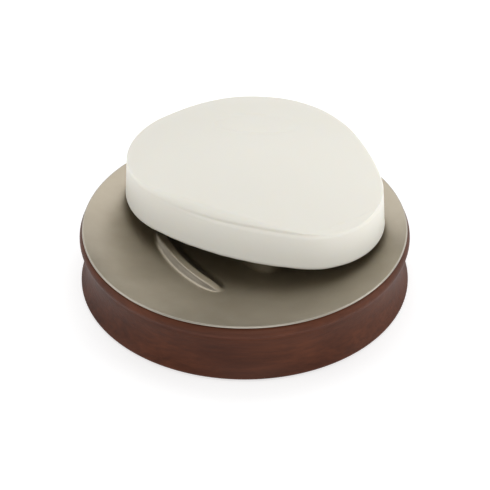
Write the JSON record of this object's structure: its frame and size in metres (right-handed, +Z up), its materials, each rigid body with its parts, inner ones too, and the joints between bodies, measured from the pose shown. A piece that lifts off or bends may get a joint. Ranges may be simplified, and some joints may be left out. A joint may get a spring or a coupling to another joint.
{
  "type": "shaving soap bar on a soap dish",
  "caption": "Cream pressed shaving soap bar resting in a round dish with a waisted reddish-brown base and a satin metal drain tray.",
  "frame": {"origin": "middle of the resting plane under the feet, on the dish's upright axis", "axes": "+Z up, +X to the right and +Y to the back as seen from the side where the bar leaves the tray open"},
  "size_m": [0.1206, 0.1206, 0.0497],
  "materials": {
    "soap": "satin",
    "satin_metal": "satin",
    "brown_wood": "satin",
    "soft_foot": "matte"
  },
  "bodies": {
    "base": {"dish_base": "brown_wood", "foot_front_left": "soft_foot", "foot_front_right": "soft_foot", "foot_back_left": "soft_foot", "foot_back_right": "soft_foot"},
    "tray": {"drain_tray": "satin_metal"},
    "bar": {"soap_bar": "soap"}
  },
  "joints": [
    {"name": "base_to_tray", "type": "slide", "parent": "base", "child": "tray", "axis": [0, 0, 1], "range_m": [0, 0.04]},
    {"name": "tray_to_bar", "type": "slide", "parent": "tray", "child": "bar", "axis": [0, 0, 1], "range_m": [0, 0.06]}
  ]
}
